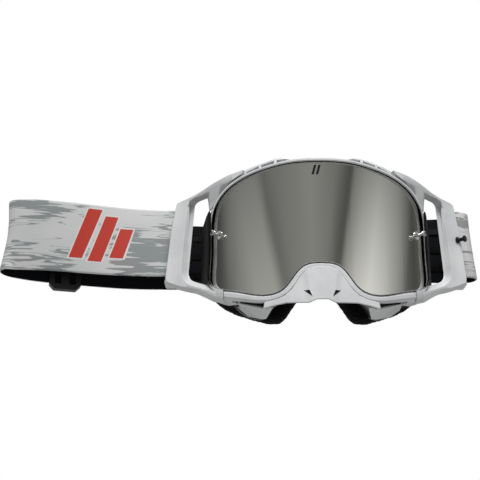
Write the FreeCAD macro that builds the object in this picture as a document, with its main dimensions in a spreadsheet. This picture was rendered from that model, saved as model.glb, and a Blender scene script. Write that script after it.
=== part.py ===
import FreeCAD, Part
import math
import os
import Sketcher

# Off-road motorcycle goggles: a curved mirror lens in a white frame, clip-on nose
# guard, two outriggers that carry an elastic strap, layered face foam and a slider.
# X is to the right of the front view, Y runs toward the wearer's face, Z is up.
# The origin is the middle of the foam's face side.  Lengths are in millimetres.

V = FreeCAD.Vector
doc = FreeCAD.newDocument("goggles")
os.makedirs("parts", exist_ok=True)

# ---------------------------------------------------------------- driving sizes
SIZES = {
    "lens_radius": 84.0,        # outer face of the lens
    "lens_wall": 1.4,
    "lens_axis": 34.0,          # depth of the axis the lens bends round
    "lens_gap": 0.55,           # free play round the lens edge
    "seal_wall": 1.0,
    "seal_width": 2.5,
    "rim_crest": 2.2,           # how far the rim stands in front of the lens
    "ledge_wall": 2.0,
    "face_radius": 120.0,       # cylinder that stands for the wearer's face
    "foam_fleece": 2.0,
    "foam_middle": 7.0,
    "foam_base": 4.0,
    "flange_wall": 2.0,
    "vent_foam_wall": 3.0,
    "guard_wall": 2.0,
    "guard_gap": 0.5,
    "arm_depth": 6.0,
    "rod_diameter": 4.0,
    "rod_x": 88.3,
    "rod_y": 12.0,
    "rod_lean": 7.0,            # degrees the strap bars lean, lower end outward
    "strap_width": 45.0,
    "strap_wall": 1.8,
    "slider_length": 20.0,
    "slider_height": 53.0,
    "slider_depth": 5.4,
    "slider_slot": 2.8,
    "slider_x": -160.5,
    "post_length": 6.5,
    "post_head": 3.4,
    "post_neck": 1.9,
    "stud_length": 6.0,
    "stud_head": 4.2,
    "stud_neck": 2.4,
}
sheet = doc.addObject("Spreadsheet::Sheet", "dims")
for row, (alias, value) in enumerate(SIZES.items(), start=1):
    sheet.set("A%d" % row, alias)
    sheet.set("B%d" % row, str(value))
    sheet.setAlias("B%d" % row, alias)
doc.recompute()


def size(alias):
    return float(sheet.get(alias))


LENS_AXIS = size("lens_axis")
LENS_RADIUS = size("lens_radius")
FACE_RADIUS = size("face_radius")

# ---------------------------------------------------------------- outlines
# Right halves, from the top centre down to the nose, as (x, z).
LENS_HALF = [(0, 36), (11, 35.9), (20.5, 35.3), (30, 33.9), (46, 30.2), (57.5, 24.2),
             (63.4, 16), (65.2, 2), (65.2, -20), (63.6, -34), (54, -39.4), (44, -43),
             (31, -46), (23, -43.8), (17, -37), (10, -29.6), (0, -28)]
RIM_HALF = [1.1, 1.1, 1.2, 1.4, 1.5, 1.5, 1.3, 1.1, 1.1, 3.0, 5.2, 4.7, 4.2, 4.2, 4.2,
            4.0, 3.9]
VENT_RUN_HALF = [4, 4, 4, 4, 4, 3, 1, 1, 1, 2, 6, 7, 6, 4, 1, 1, 1]
BROW_HALF = [0.5, 0.6, 4.8, 5.2, 4.8, 2.0, 0.3, 0.3, 0.3, 0.5, 1.2, 1.6, 1.4, 0.6, 0.3,
             0.3, 0.3]
FLANGE_HALF = [(0, 43.5), (11, 44), (20.5, 45), (30, 44.5), (46, 38.5), (58, 31), (66, 20),
               (69.2, 2), (69, -17), (64, -28.5), (53, -37.8), (46.2, -45.2),
               (31.5, -49.6), (26, -43.8), (17, -37), (9.5, -31.5), (0, -29.5)]
FOAM_HALF = [(0, 44.5), (11, 45.5), (21, 46), (31, 45.5), (47, 41), (61, 34.5), (69.6, 22),
             (72.4, 3), (72.6, -15), (67.5, -28.5), (56.5, -40.4), (45, -46.6),
             (33, -51.2), (22.6, -52.0), (15.2, -44), (8, -35), (0, -31.2)]


def both_sides(half):
    """Closed outline from a right half whose first and last points lie on x = 0."""
    return list(half) + [(-x, z) for x, z in reversed(half[1:-1])]


def both_values(half):
    return list(half) + list(reversed(half[1:-1]))


def grow(outline, distances):
    """Move every point of a closed clockwise outline outward by its own distance."""
    count = len(outline)
    if not isinstance(distances, (list, tuple)):
        distances = [distances] * count
    moved = []
    for i, (x, z) in enumerate(outline):
        before, after = outline[i - 1], outline[(i + 1) % count]
        along = V(after[0] - before[0], 0, after[1] - before[1]).normalize()
        moved.append((x - along.z * distances[i], z + along.x * distances[i]))
    return moved


def lens_depth(x, radius):
    return LENS_AXIS - math.sqrt(radius ** 2 - x ** 2)


def face_depth(x, radius):
    return FACE_RADIUS - math.sqrt(radius ** 2 - x ** 2)


def on_lens(outline, radius, back=0.0):
    """Outline laid on a cylinder round the lens axis; back moves points rearward."""
    if not isinstance(back, (list, tuple)):
        back = [back] * len(outline)
    return [V(x, lens_depth(x, radius) + shift, z) for (x, z), shift in zip(outline, back)]


def on_face(outline, radius):
    return [V(x, face_depth(x, radius), z) for x, z in outline]


# ---------------------------------------------------------------- shape helpers
def origin_plane(body, role):
    return [part for part in body.Origin.OriginFeatures if part.Role == role][0]


def add_sketch(body, role, offset=None):
    sketch = body.newObject("Sketcher::SketchObject", "sketch")
    sketch.AttachmentSupport = [(origin_plane(body, role), "")]
    sketch.MapMode = "FlatFace"
    if offset is not None:
        sketch.AttachmentOffset = FreeCAD.Placement(offset, FreeCAD.Rotation())
    return sketch


def draw_polygon(sketch, points):
    for start, end in zip(points, points[1:] + points[:1]):
        sketch.addGeometry(Part.LineSegment(V(start[0], start[1], 0), V(end[0], end[1], 0)), False)


def draw_spline(sketch, points):
    curve = Part.BSplineCurve()
    curve.interpolate(Points=[V(x, z, 0) for x, z in points], PeriodicFlag=True)
    sketch.addGeometry(curve, False)


def draw_circle(sketch, centre_expression, radius_expression, start_radius):
    """Circle on the sketch's vertical axis, driven by two sheet expressions."""
    circle = sketch.addGeometry(Part.Circle(V(0, LENS_AXIS, 0), V(0, 0, 1), start_radius), False)
    sketch.addConstraint(Sketcher.Constraint("PointOnObject", circle, 3, -2))
    index = sketch.addConstraint(Sketcher.Constraint("DistanceY", -1, 1, circle, 3, LENS_AXIS))
    sketch.setExpression("Constraints[%d]" % index, centre_expression)
    index = sketch.addConstraint(Sketcher.Constraint("Radius", circle, start_radius))
    sketch.setExpression("Constraints[%d]" % index, radius_expression)


def curved_plate(name, outlines, outer, inner, splined=True, reach=110.0):
    """Front-view outlines cut from the wall between two radii round the lens axis."""
    body = doc.addObject("PartDesign::Body", name)
    front = add_sketch(body, "XZ_Plane")
    for outline in outlines:
        if splined:
            draw_spline(front, outline)
        else:
            draw_polygon(front, outline)
    pad = body.newObject("PartDesign::Pad", "pad")
    pad.Profile = front
    pad.Length = reach
    doc.recompute()
    plan = add_sketch(body, "XY_Plane")
    draw_polygon(plan, [(-150, -150), (150, -150), (150, 140), (-150, 140)])
    draw_circle(plan, "dims.lens_axis", outer, LENS_RADIUS + 1)
    draw_circle(plan, "dims.lens_axis", inner, LENS_RADIUS - 1)
    pocket = body.newObject("PartDesign::Pocket", "bend")
    pocket.Profile = plan
    pocket.Type = "ThroughAll"
    pocket.Midplane = True
    body.Tip = pocket
    doc.recompute()
    return body


def closed_curve(points):
    curve = Part.BSplineCurve()
    curve.interpolate(Points=points, PeriodicFlag=True)
    return curve.toShape()


def ring_shape(loops):
    """Solid ring whose cross-section runs through the given closed 3-D loops."""
    edges = [closed_curve(points) for points in loops]
    faces = [Part.makeRuledSurface(a, b) for a, b in zip(edges, edges[1:] + edges[:1])]
    shell = Part.makeShell(faces)
    shell.sewShape()
    solid = Part.makeSolid(shell)
    if solid.Volume < 0:
        solid.reverse()
    return solid


def shape_feature(name, shape):
    feature = doc.addObject("Part::Feature", name)
    feature.Shape = shape
    return feature


def cut_feature(name, base, tool):
    feature = doc.addObject("Part::Cut", name)
    feature.Base = base
    feature.Tool = tool
    doc.recompute()
    return feature


def fuse_feature(name, parts):
    feature = doc.addObject("Part::MultiFuse", name)
    feature.Shapes = parts
    doc.recompute()
    return feature


def turned_piece(name, profile, base, direction):
    """Revolved profile of (radius, height) pairs standing on base along direction."""
    body = doc.addObject("PartDesign::Body", name)
    sketch = add_sketch(body, "XZ_Plane")
    draw_polygon(sketch, profile)
    turn = body.newObject("PartDesign::Revolution", "turn")
    turn.Profile = sketch
    turn.ReferenceAxis = (sketch, ["V_Axis"])
    turn.Angle = 360
    body.Tip = turn
    body.Placement = FreeCAD.Placement(base, FreeCAD.Rotation(V(0, 0, 1), direction))
    doc.recompute()
    return body


nodes = []


def keep(feature, name):
    feature.Label = name
    nodes.append((name, feature))
    return feature


# ---------------------------------------------------------------- lens and seal
LENS = both_sides(LENS_HALF)
keep(curved_plate("lens", [LENS], "dims.lens_radius", "dims.lens_radius - dims.lens_wall"),
     "lens")
seal_outer = "dims.lens_radius - dims.lens_wall - 0.3"
keep(curved_plate("lens_seal", [grow(LENS, -0.4), grow(LENS, -0.4 - size("seal_width"))],
                  seal_outer, seal_outer + " - dims.seal_wall"), "lens_seal")

# ---------------------------------------------------------------- outriggers
# The C of each outrigger in front view: upper arm, strap bar, lower arm.
ARM_OUTLINE = [(44.6, 35.6), (55, 34.8), (69, 32.4), (85.7, 30.0), (89.2, 28.4),
               (92.4, 7), (95.0, -21.5), (94.2, -24.4), (85, -28.8), (73.9, -34.0),
               (63, -43.0), (56.8, -45.8), (56.8, -38.8), (60.4, -37.0), (64.4, -34.4),
               (65.9, -31.9), (80.0, -22.8), (76.4, 27.4), (68.0, 26.6), (66.8, 17.2),
               (65.2, 17.2), (63.0, 20.6), (58.6, 25.6), (53.6, 28.6), (46.8, 31.8)]
ARM_FRONT = [(38, -44.2), (48, -38.8), (57, -32.0), (66, -22.8), (72, -15.2), (80, -6.8),
             (88, -1.6), (104, 1.4)]
LUG_SIZE = (7.0, 12.0, 3.4)


def outrigger(name, side):
    body = doc.addObject("PartDesign::Body", name + "_shell")
    front = add_sketch(body, "XZ_Plane", V(0, 0, -40))
    draw_polygon(front, [(side * x, z) for x, z in ARM_OUTLINE])
    pad = body.newObject("PartDesign::Pad", "pad")
    pad.Profile = front
    pad.Length = 110
    doc.recompute()
    plan = add_sketch(body, "XY_Plane")
    draw_polygon(plan, [(side * x, y) for x, y in
                        ((20, -120), (130, -120), (130, 80), (20, 80))])
    depth = size("arm_depth")
    band = Part.BSplineCurve()
    band.interpolate([V(side * x, y, 0) for x, y in ARM_FRONT])
    rear = Part.BSplineCurve()
    rear.interpolate([V(side * x, y + depth + 1.6 * (100 - x) / 60, 0) for x, y in ARM_FRONT])
    ends = [(band.StartPoint, rear.StartPoint), (band.EndPoint, rear.EndPoint)]
    plan.addGeometry(band, False)
    plan.addGeometry(rear, False)
    for start, end in ends:
        plan.addGeometry(Part.LineSegment(start, end), False)
    pocket = body.newObject("PartDesign::Pocket", "band")
    pocket.Profile = plan
    pocket.Type = "ThroughAll"
    pocket.Midplane = True
    doc.recompute()
    body.Tip = pocket
    return body


def strap_bar_axis(side):
    lean = math.tan(math.radians(size("rod_lean")))
    centre = V(side * size("rod_x"), size("rod_y"), 4.6)
    along = V(-side * lean, 0, 1).normalize()
    return centre, along


# Rubber-capped stud for the pull tabs of tear-off films, on the right outrigger.
head, neck, length = size("stud_head") / 2, size("stud_neck") / 2, size("stud_length")
STUD = [(0, 0), (head, 0), (head, 0.9), (neck, 1.6), (neck, length - 1.8),
        (head, length - 1.2), (head, length - 0.3), (head - 0.5, length), (0, length)]
stud = keep(turned_piece("tab_stud", STUD, V(89.6, -0.6, 4.0), V(0.8, -0.6, 0.0).normalize()),
            "tab_stud")

outriggers = {}
for word, side in (("left", -1), ("right", 1)):
    shell = outrigger("outrigger_" + word, side)
    centre, along = strap_bar_axis(side)
    lugs = []
    for spot, height in (("upper", 25.2), ("lower", -27.6)):
        lug = doc.addObject("Part::Box", "lug_%s_%s" % (word, spot))
        lug.Length, lug.Width, lug.Height = LUG_SIZE
        foot = centre + along * height
        lug.Placement = FreeCAD.Placement(
            V(foot.x - LUG_SIZE[0] / 2, 3.2, foot.z - LUG_SIZE[2] / 2), FreeCAD.Rotation())
        lugs.append(lug)
    joined = fuse_feature("outrigger_%s_joined" % word, [shell] + lugs)
    hole = doc.addObject("Part::Cylinder", "bar_hole_" + word)
    hole.setExpression("Radius", "dims.rod_diameter / 2 + 0.05")
    hole.Height = 52.9
    turn = FreeCAD.Rotation(V(0, 0, 1), along)
    hole.Placement = FreeCAD.Placement(centre - along * 27.5, turn)
    doc.recompute()
    sockets = fuse_feature("sockets_" + word, [hole, stud]) if word == "right" else hole
    outriggers[word] = keep(cut_feature("outrigger_" + word, joined, sockets),
                            "outrigger_" + word)
    bar = doc.addObject("Part::Cylinder", "strap_bar_" + word)
    bar.setExpression("Radius", "dims.rod_diameter / 2")
    bar.Height = 52.5
    bar.Placement = FreeCAD.Placement(centre - along * 27.3, turn)
    keep(bar, "strap_bar_" + word)

# ---------------------------------------------------------------- front frame
RIM = both_values(RIM_HALF)
VENT_RUN = both_values(VENT_RUN_HALF)
BROW = both_values(BROW_HALF)
FLANGE = both_sides(FLANGE_HALF)
rebate = grow(LENS, size("lens_gap"))
ledge = grow(LENS, -0.4 - size("seal_width"))
crest = LENS_RADIUS + size("rim_crest")
seat = LENS_RADIUS - size("lens_wall") - 0.3 - size("seal_wall") - 0.12
flange_front = FACE_RADIUS + size("foam_fleece") + size("foam_middle") + size("foam_base")
frame_rear = flange_front + size("flange_wall")


def rim_at(share):
    return grow(LENS, [size("lens_gap") + share * (width - size("lens_gap")) for width in RIM])


frame_blank = shape_feature("frame_blank", ring_shape([
    on_lens(rebate, crest - 0.9),
    on_lens(rim_at(0.3), crest),
    on_lens(rim_at(0.75), crest - 0.2),
    on_lens(rim_at(1.0), crest - 1.4),
    on_lens(grow(LENS, [width + 0.2 for width in RIM]), crest - 1.4, VENT_RUN),
    on_lens(grow(LENS, [width + rise for width, rise in zip(RIM, BROW)]), crest - 1.4,
            [run + 1.2 for run in VENT_RUN]),
    on_face(FLANGE, frame_rear),
    on_face(grow(FLANGE, -3.0), frame_rear),
    on_lens(ledge, seat - size("ledge_wall")),
    on_lens(ledge, seat),
    on_lens(rebate, seat),
]))
doc.recompute()

# Three air windows per side under the brow, and one in each lower wall.
WINDOWS = [((15.0, 37.6), (25.4, 37.0), (25.4, 40.4), (20.5, 40.7), (15.0, 39.2)),
           ((27.0, 36.7), (34.6, 35.5), (34.6, 38.6), (27.0, 40.2)),
           ((36.2, 35.1), (43.6, 33.1), (43.6, 36.0), (36.2, 38.3))]
LOWER_WINDOW = [(28.0, -43.0), (51, -32.4), (52, -28.6), (29.5, -33.6)]
LOWER_FOAM = [(29.0, -40.2), (45.0, -33.2), (50.6, -28.9), (29.9, -34.0)]


def prism(name, role, points, start, length):
    """Straight bar: polygon on an origin plane, moved along its normal, then padded."""
    body = doc.addObject("PartDesign::Body", name)
    sketch = add_sketch(body, role, V(0, 0, start))
    draw_polygon(sketch, points)
    pad = body.newObject("PartDesign::Pad", "pad")
    pad.Profile = sketch
    pad.Length = length
    body.Tip = pad
    doc.recompute()
    return body


def shrink(points, distance):
    centre_x = sum(p[0] for p in points) / len(points)
    centre_z = sum(p[1] for p in points) / len(points)
    moved = []
    for x, z in points:
        away = V(x - centre_x, z - centre_z, 0)
        factor = 1 - distance * 1.4 / away.Length
        moved.append((centre_x + (x - centre_x) * factor, centre_z + (z - centre_z) * factor))
    return moved


tools = []
for word, side in (("left", -1), ("right", 1)):
    for number, window in enumerate(WINDOWS, start=1):
        points = [(side * x, z) for x, z in window]
        tools.append(prism("window_%s_%d" % (word, number), "XZ_Plane", points, 4.0, 56.0))
        foam = curved_plate("top_vent_foam_%s_%d" % (word, number), [shrink(points, 0.15)],
                            "77", "77 - dims.vent_foam_wall", splined=False)
        keep(foam, "top_vent_foam_%s_%d" % (word, number))
    points = [(side * x, y) for x, y in LOWER_WINDOW]
    tools.append(prism("lower_window_" + word, "XY_Plane", points, -60.0, 22.0))
    keep(prism("lower_vent_foam_" + word, "XY_Plane", [(side * x, y) for x, y in LOWER_FOAM],
               -47.4, 3.0), "lower_vent_foam_" + word)

# Black breathing panels along the sides, between the lens edge and the face flange.
PANEL_PLAN = [(65.7, -16.4), (65.7, -21.6), (67.2, -21.9), (72.4, 0.6), (70.2, 1.2)]
RIM_GAP = [(65.3, -16.6), (65.3, -26), (72, -26), (70, -10)]
PANEL_LEAF = [(62, -30.5), (69, -29.5), (76, -24), (76, 6), (69.5, 15), (66.5, 16.9), (62, 16.9)]
for word, side in (("left", -1), ("right", 1)):
    wall = prism("panel_wall_" + word, "XY_Plane", [(side * x, y) for x, y in PANEL_PLAN],
                 -40.0, 70.0)
    leaf = prism("panel_leaf_" + word, "XZ_Plane", [(side * x, z) for x, z in PANEL_LEAF],
                 -20.0, 50.0)
    panel = doc.addObject("Part::Common", "side_vent_foam_" + word)
    panel.Base, panel.Tool = wall, leaf
    doc.recompute()
    tools.append(keep(panel, "side_vent_foam_" + word))
    tools.append(prism("rim_gap_" + word, "XY_Plane", [(side * x, y) for x, y in RIM_GAP],
                       -30.0, 46.9))
tools += list(outriggers.values())
keep(cut_feature("front_frame", frame_blank, fuse_feature("frame_tools", tools)),
     "front_frame")


# ---------------------------------------------------------------- face side
keep(shape_feature("face_flange", ring_shape([
    on_face(grow(FLANGE, 0.6), frame_rear - 0.05),
    on_face(grow(FLANGE, 0.6), flange_front + 0.05),
    on_face(grow(FLANGE, -6.0), flange_front + 0.05),
    on_face(grow(FLANGE, -6.0), frame_rear - 0.05),
])), "face_flange")
FOAM = both_sides(FOAM_HALF)
layer_top = flange_front - 0.05
for name, wall, inset in (("foam_base", "foam_base", 0.8), ("foam_middle", "foam_middle", 0.0),
                          ("foam_fleece", "foam_fleece", 0.6)):
    keep(shape_feature(name, ring_shape([
        on_face(grow(FOAM, -inset), layer_top),
        on_face(grow(FOAM, -inset), layer_top - size(wall) + 0.05),
        on_face(grow(FOAM, inset - 11.0), layer_top - size(wall) + 0.05),
        on_face(grow(FOAM, inset - 11.0), layer_top),
    ])), name)
    layer_top -= size(wall)
doc.recompute()

# ---------------------------------------------------------------- nose guard
GUARD_HALF = [(0, -32.9), (8.4, -34.6), (12.2, -38.0), (15.6, -43.4), (20.2, -48.8),
              (26, -51.0), (33, -51.4), (33.6, -54.6), (27, -53.4), (20.4, -52.4),
              (13.8, -52.6), (7.2, -52.8), (3.2, -51), (0, -51)]
SLOT = [(10.8, -45.4), (7.4, -45.4), (5.6, -49.8)]
guard_inner = "dims.lens_radius + dims.rim_crest - 0.9"
keep(curved_plate("nose_guard", [both_sides(GUARD_HALF), SLOT, [(-x, z) for x, z in SLOT]],
                  guard_inner + " + dims.guard_wall", guard_inner, splined=False),
     "nose_guard")

# ---------------------------------------------------------------- posts and stud
head, neck, length = size("post_head") / 2, size("post_neck") / 2, size("post_length")
POST = [(0, 0), (head + 0.9, 0), (head + 0.9, 0.6), (neck, 1.2), (neck, length - 2.2),
        (head, length - 1.6), (head, length - 0.5), (head - 0.7, length), (0, length)]
for word, side in (("left", -1), ("right", 1)):
    x = side * 60.0
    foot = V(x, lens_depth(x, LENS_RADIUS), -2.0)
    outward = (foot - V(0, LENS_AXIS, -2.0)).normalize()
    keep(turned_piece("tear_off_post_" + word, POST, foot, outward), "tear_off_post_" + word)

# ---------------------------------------------------------------- strap
# Centre line from the left end to the right one: x, y, z, sideways lean and tilt of
# the strap's width.  It loops round each strap bar and folds back at the far left.
WRAP_RADIUS = size("rod_diameter") / 2 + size("strap_wall") / 2 + 0.45
WRAP_LEAN = math.tan(math.radians(size("rod_lean")))


def bar_wrap(side, height):
    """Points of the strap's way round a strap bar, from its rear over its inner side."""
    points = []
    for angle in (115, 90, 60, 30, 0, -30, -60, -90, -112):
        x = -side * WRAP_RADIUS * math.cos(math.radians(angle))
        y = WRAP_RADIUS * math.sin(math.radians(angle))
        points.append((side * size("rod_x") + x, size("rod_y") + y, height,
                       -side * WRAP_LEAN, 0))
    return points


STRAP_PATH = [(-106, 11.5, 5.0, 0.05, 0), (-97, 13.6, 4.9, 0.10, 0)]
STRAP_PATH += bar_wrap(-1, 4.9)
STRAP_PATH += [(-97, 9.4, 4.9, 0.10, 0),
               (-113, 7.5, 4.7, 0.04, -0.02), (-135, 3.5, 4.8, 0, -0.10),
               (-165, -1.5, 5.8, 0, -0.20), (-184.5, -3.6, 5.9, 0.05, -0.22),
               (-194, -0.7, 5.8, 0.11, -0.18), (-195, 6.0, 5.0, 0.11, -0.10),
               (-188.5, 11.36, 4.0, 0.05, -0.03), (-180, 13.66, 3.0, 0, 0),
               (-163, 18.26, 2.4, 0, 0), (-145, 23.13, 2.4, 0, 0),
               (-125, 28.54, 2.6, 0, 0), (-105, 33.95, 3.8, 0, 0), (-75, 41.5, 6.2, 0, 0),
               (-30, 47.5, 6.5, 0, 0), (30, 47.5, 8.5, 0, 0), (75, 41.5, 11.4, 0, 0),
               (93, 34.5, 9.5, -0.03, 0), (101.6, 23.5, 7.0, -0.06, 0),
               (100.5, 14, 5.6, -0.09, 0), (96.5, 10.2, 5.0, -0.11, 0)]
STRAP_PATH += list(reversed(bar_wrap(1, 4.8)))
STRAP_PATH += [(92.8, 16.6, 5.0, -0.10, 0), (95.4, 21.5, 5.4, -0.08, 0)]


def strap_frames():
    """Centre, width direction and thickness direction at every path point."""
    centres = [V(x, y, z) for x, y, z, lean, tilt in STRAP_PATH]
    frames = []
    for i, (x, y, z, lean, tilt) in enumerate(STRAP_PATH):
        before, after = centres[max(i - 1, 0)], centres[min(i + 1, len(centres) - 1)]
        along = (after - before).normalize()
        across = V(lean, tilt, 1)
        across = (across - along * across.dot(along)).normalize()
        frames.append((centres[i], across, along.cross(across).normalize()))
    return frames


def ribbon_shape(frames, low, high, inner, outer):
    """Ribbon between two heights of the strap's width and two of its thickness."""
    corners = [(low, inner), (high, inner), (high, outer), (low, outer)]
    edges = []
    for width, depth in corners:
        curve = Part.BSplineCurve()
        curve.interpolate([c + across * width + out * depth for c, across, out in frames])
        edges.append(curve.toShape())
    faces = [Part.makeRuledSurface(a, b) for a, b in zip(edges, edges[1:] + edges[:1])]
    for end in (0, -1):
        points = [frames[end][0] + frames[end][1] * w + frames[end][2] * d for w, d in corners]
        faces.append(Part.Face(Part.makePolygon(points + points[:1])))
    shell = Part.makeShell(faces)
    shell.sewShape()
    solid = Part.makeSolid(shell)
    if solid.Volume < 0:
        solid.reverse()
    return solid


half_width = size("strap_width") / 2
half_wall = size("strap_wall") / 2
frames = strap_frames()
keep(shape_feature("strap", ribbon_shape(frames, -half_width, half_width,
                                         -half_wall, half_wall)), "strap")

# Silicone grip lines on the side of the strap that lies against the helmet.
grip_frames = [frame for frame in frames if frame[0].y > 33]
for number, height in enumerate((-13.0, 0.0, 13.0), start=1):
    keep(shape_feature("grip_line_%d" % number,
                       ribbon_shape(grip_frames, height - 2.0, height + 2.0,
                                    half_wall + 0.02, half_wall + 0.5)),
         "grip_line_%d" % number)

# ---------------------------------------------------------------- strap slider
run_from, run_to = V(-180, 13.66, 0), V(-125, 28.54, 0)
run = (run_to - run_from).normalize()
slider = doc.addObject("PartDesign::Body", "strap_slider")
face = add_sketch(slider, "XZ_Plane", V(0, 0, -size("slider_depth") / 2))
long_half, high_half = size("slider_length") / 2, size("slider_height") / 2
corner = 3.0
draw_polygon(face, [(-long_half + corner, -high_half), (long_half - corner, -high_half),
                    (long_half, -high_half + corner), (long_half, high_half - corner),
                    (long_half - corner, high_half), (-long_half + corner, high_half),
                    (-long_half, high_half - corner), (-long_half, -high_half + corner)])
pad = slider.newObject("PartDesign::Pad", "pad")
pad.Profile = face
pad.setExpression("Length", "dims.slider_depth")
doc.recompute()
slot = add_sketch(slider, "YZ_Plane")
slot_half = size("slider_slot") / 2
slot_high = half_width + 0.6
draw_polygon(slot, [(-slot_half, -slot_high), (slot_half, -slot_high),
                    (slot_half, slot_high), (-slot_half, slot_high)])
pocket = slider.newObject("PartDesign::Pocket", "strap_slot")
pocket.Profile = slot
pocket.Type = "ThroughAll"
pocket.Midplane = True
doc.recompute()
windows = add_sketch(slider, "XZ_Plane")
for side in (-1, 1):
    inner_edge, outer_edge = side * 2.6, side * (long_half - 3.2)
    draw_polygon(windows, [(inner_edge, -slot_high), (outer_edge, -slot_high),
                           (outer_edge, slot_high), (inner_edge, slot_high)])
pocket = slider.newObject("PartDesign::Pocket", "windows")
pocket.Profile = windows
pocket.Type = "ThroughAll"
pocket.Midplane = True
slider.Tip = pocket
spot = run_from + run * ((size("slider_x") - run_from.x) / run.x)
slider.Placement = FreeCAD.Placement(V(spot.x, spot.y, 2.4),
                                     FreeCAD.Rotation(V(1, 0, 0), run))
doc.recompute()
keep(slider, "strap_slider")

# ---------------------------------------------------------------- checks and files
doc.recompute()
for item in doc.Objects:
    if any(word in item.State for word in ("Invalid", "Error")):
        raise RuntimeError("%s is %s" % (item.Name, item.State))
for name, feature in nodes:
    shape = feature.Shape
    if shape.isNull() or not shape.isValid() or len(shape.Solids) != 1:
        raise RuntimeError("%s: null, invalid or %d solids" % (name, len(shape.Solids)))
    shape.exportStep("parts/%s.step" % name)
    box = shape.BoundBox
    print("%-24s %9.1f  x %.1f..%.1f y %.1f..%.1f z %.1f..%.1f" % (
        name, shape.Volume, box.XMin, box.XMax, box.YMin, box.YMax, box.ZMin, box.ZMax))
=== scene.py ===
import math

import bmesh
import bpy
from mathutils import Matrix, Vector, noise


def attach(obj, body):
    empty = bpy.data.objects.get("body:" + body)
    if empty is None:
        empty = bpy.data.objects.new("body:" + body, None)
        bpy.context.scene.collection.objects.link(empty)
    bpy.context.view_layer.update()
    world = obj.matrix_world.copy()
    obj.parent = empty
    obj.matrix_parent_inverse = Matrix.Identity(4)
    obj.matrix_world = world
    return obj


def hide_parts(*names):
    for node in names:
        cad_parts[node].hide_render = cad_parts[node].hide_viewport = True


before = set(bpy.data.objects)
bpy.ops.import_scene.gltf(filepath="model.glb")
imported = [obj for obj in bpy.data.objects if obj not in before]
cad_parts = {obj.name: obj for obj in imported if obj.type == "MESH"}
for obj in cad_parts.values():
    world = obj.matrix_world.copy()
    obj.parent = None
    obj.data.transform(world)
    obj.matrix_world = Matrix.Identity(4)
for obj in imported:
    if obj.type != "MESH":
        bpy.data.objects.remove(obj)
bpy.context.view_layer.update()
MM = 0.001
SIDES = (("left", -1), ("right", 1))

# ------------------------------------------------------------------ sizes shared with the CAD
LENS_RADIUS, LENS_AXIS = 84.0, 34.0
LENS_WALL = 1.4
LENS_HALF = [(0, 36), (11, 35.9), (20.5, 35.3), (30, 33.9), (46, 30.2), (57.5, 24.2),
             (63.4, 16), (65.2, 2), (65.2, -20), (63.6, -34), (54, -39.4), (44, -43),
             (31, -46), (23, -43.8), (17, -37), (10, -29.6), (0, -28)]
ROD_X, ROD_Y, ROD_LEAN = 88.3, 12.0, 0.1228

# ------------------------------------------------------------------ camera
AZIMUTH, ELEVATION, ROLL = (math.radians(a) for a in (0.53, -20.0, 0.39))
DISTANCE, TARGET = 650 * MM, Vector((-47.66, 0, 3.91)) * MM
FOCAL = 76.87

back = Vector((math.sin(AZIMUTH) * math.cos(ELEVATION),
               -math.cos(AZIMUTH) * math.cos(ELEVATION), math.sin(ELEVATION)))
side = Vector((math.cos(AZIMUTH), math.sin(AZIMUTH), 0))
up = back.cross(side)
right = side * math.cos(ROLL) + up * math.sin(ROLL)
up = up * math.cos(ROLL) - side * math.sin(ROLL)
camera = bpy.data.objects.new("camera", bpy.data.cameras.new("camera"))
camera.data.lens, camera.data.sensor_width = FOCAL, 36
camera.data.clip_start, camera.data.clip_end = 0.01, 20
camera.matrix_world = Matrix.Translation(TARGET + back * DISTANCE) @ Matrix(
    (right, up, back)).transposed().to_4x4()
bpy.context.scene.collection.objects.link(camera)
bpy.context.scene.camera = camera


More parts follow.
